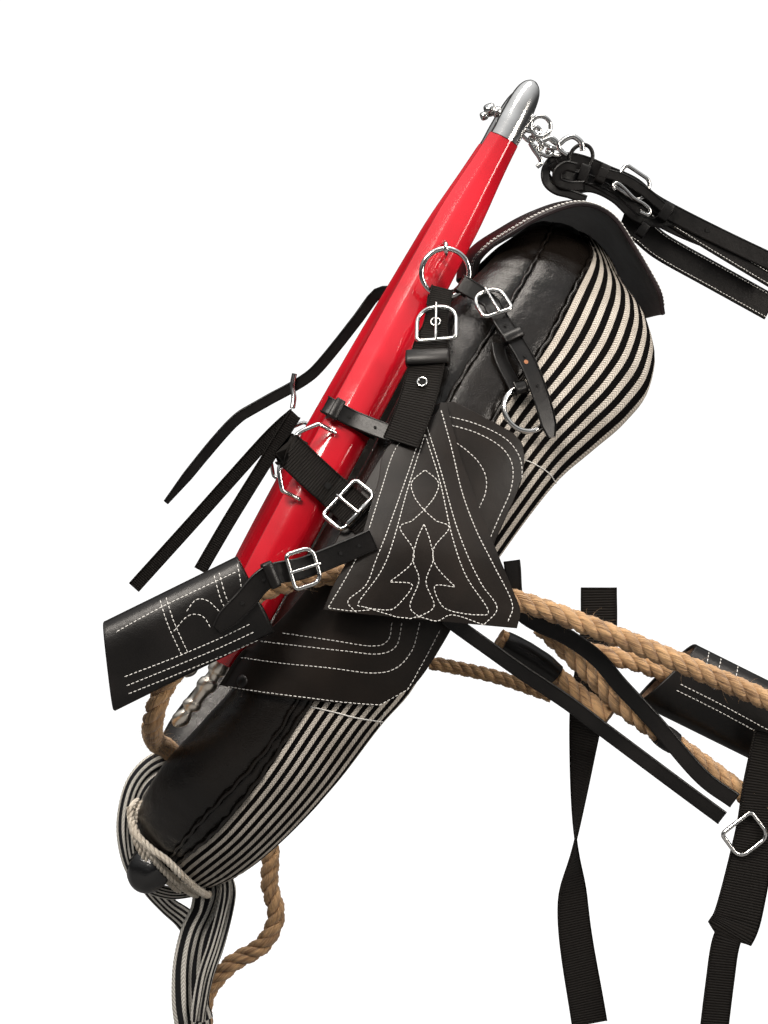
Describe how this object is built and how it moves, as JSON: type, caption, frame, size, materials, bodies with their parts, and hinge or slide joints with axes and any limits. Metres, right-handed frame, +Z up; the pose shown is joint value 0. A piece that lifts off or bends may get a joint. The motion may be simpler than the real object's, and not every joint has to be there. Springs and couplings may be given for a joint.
{
  "type": "driving harness",
  "caption": "Horse driving collar with hames, housings, buckled straps, webbing, leather rope sleeves and rope traces, shown as it hangs.",
  "frame": {"origin": "middle of the collar's neck opening, between its front and back", "axes": "+Z up, X along the horse with -X forward, Y across the horse with the near side at -Y; the collar leans 28 degrees forward"},
  "size_m": [0.7092, 0.5375, 1.0312],
  "materials": {
    "bridle_leather": "black bridle leather, waxed",
    "collar_leather": "soft black collar leather",
    "ticking": "black and cream striped ticking",
    "cap_leather": "stiff black leather",
    "hame_red": "gloss red paint",
    "chrome": "polished chrome",
    "nylon_webbing": "ribbed black webbing",
    "jute_rope": "golden brown laid rope",
    "cotton_cord": "cream cotton cord"
  },
  "bodies": {
    "collar": {"back_strap": "bridle_leather", "collar_cap": "cap_leather", "collar_front_roll": "collar_leather", "collar_leather_wale": "collar_leather", "collar_ticking_body": "ticking", "cross_strap": "bridle_leather", "draught_buckle": "chrome", "drop_strap": "bridle_leather", "far_hame": "hame_red", "far_hame_cap": "chrome", "far_hame_foot": "chrome", "far_hame_link": "chrome", "far_housing": "bridle_leather", "far_long_strap": "bridle_leather", "far_snap": "chrome", "far_staple": "chrome", "far_tug_webbing": "nylon_webbing", "far_webbing": "nylon_webbing", "hame_belt": "bridle_leather", "inner_trace_rope": "jute_rope", "lower_strap": "bridle_leather", "lower_trace_rope": "jute_rope", "middle_trace_rope": "jute_rope", "near_apron": "bridle_leather", "near_draught_webbing": "nylon_webbing", "near_hame": "hame_red", "near_hame_cap": "chrome", "near_hame_foot": "chrome", "near_hame_link": "chrome", "near_housing": "bridle_leather", "near_rope_sleeve": "bridle_leather", "near_staple": "chrome", "near_trace_rope": "jute_rope", "near_trace_tail": "jute_rope", "near_tug_webbing": "nylon_webbing", "ring_strap": "bridle_leather", "ring_strap_buckle": "chrome", "sleeve_buckle": "chrome", "sleeve_strap": "bridle_leather", "stitched_strap": "bridle_leather", "thin_trace_rope": "jute_rope", "tie_band": "ticking", "tie_cord": "cotton_cord", "top_ring": "chrome", "top_snap": "chrome", "tug_buckle": "chrome", "upper_buckle": "chrome", "upper_strap": "bridle_leather"},
    "near_ring": {"near_hame_ring": "chrome"},
    "far_ring": {"far_hame_ring": "chrome"},
    "drop_ring": {"drop_ring": "chrome"},
    "draught_tongue": {"draught_tongue": "chrome"},
    "tug_tongue": {"tug_tongue": "chrome"},
    "ring_strap_tongue": {"ring_strap_tongue": "chrome"},
    "sleeve_tongue": {"sleeve_tongue": "chrome"},
    "tug_keeper": {"tug_keeper": "bridle_leather"},
    "belly_webbing": {"belly_webbing": "nylon_webbing"},
    "girth": {"girth_webbing": "nylon_webbing", "girth_buckle": "chrome"},
    "second_sleeve": {"second_rope_sleeve": "bridle_leather"}
  },
  "joints": [
    {"name": "near_ring_spin", "type": "hinge", "parent": "collar", "child": "near_ring", "pos_m": [0.03079, -0.13443, 0.28806], "axis": [0, 1, 0], "continuous": true},
    {"name": "far_ring_spin", "type": "hinge", "parent": "collar", "child": "far_ring", "pos_m": [0.03079, 0.13443, 0.28806], "axis": [0, 1, 0], "continuous": true},
    {"name": "drop_ring_spin", "type": "hinge", "parent": "collar", "child": "drop_ring", "pos_m": [0.10309, -0.18795, 0.15353], "axis": [0.2109, -0.9313, 0.297], "continuous": true},
    {"name": "draught_tongue_turn", "type": "hinge", "parent": "collar", "child": "draught_tongue", "pos_m": [-0.07961, -0.21447, 0.07063], "axis": [-0.677, -0.0878, -0.7308], "range_deg": [0, 80]},
    {"name": "tug_tongue_turn", "type": "hinge", "parent": "collar", "child": "tug_tongue", "pos_m": [0.01699, -0.18021, 0.22119], "axis": [0.9702, -0.2299, 0.0761], "range_deg": [0, 80]},
    {"name": "ring_strap_tongue_turn", "type": "hinge", "parent": "collar", "child": "ring_strap_tongue", "pos_m": [0.07987, -0.16226, 0.24749], "axis": [0.9188, 0.2279, 0.3224], "range_deg": [0, 80]},
    {"name": "sleeve_tongue_turn", "type": "hinge", "parent": "collar", "child": "sleeve_tongue", "pos_m": [-0.12722, -0.28486, 0.0049], "axis": [0.2788, 0, -0.9603], "range_deg": [0, 80]},
    {"name": "tug_keeper_slide", "type": "slide", "parent": "collar", "child": "tug_keeper", "axis": [-0.0762, -0.4931, -0.8666], "range_m": [-0.0025, 0.0025]},
    {"name": "belly_webbing_swing", "type": "hinge", "parent": "collar", "child": "belly_webbing", "pos_m": [0.18312, -0.15002, -0.02352], "axis": [1, 0, 0], "range_deg": [-5, 15]},
    {"name": "girth_swing", "type": "hinge", "parent": "collar", "child": "girth", "pos_m": [0.3402, -0.22386, -0.1596], "axis": [1, 0, 0], "range_deg": [-15, 0]},
    {"name": "second_sleeve_slide", "type": "slide", "parent": "collar", "child": "second_sleeve", "axis": [0.8944, 0, -0.4472], "range_m": [-0.015, 0.015]}
  ]
}
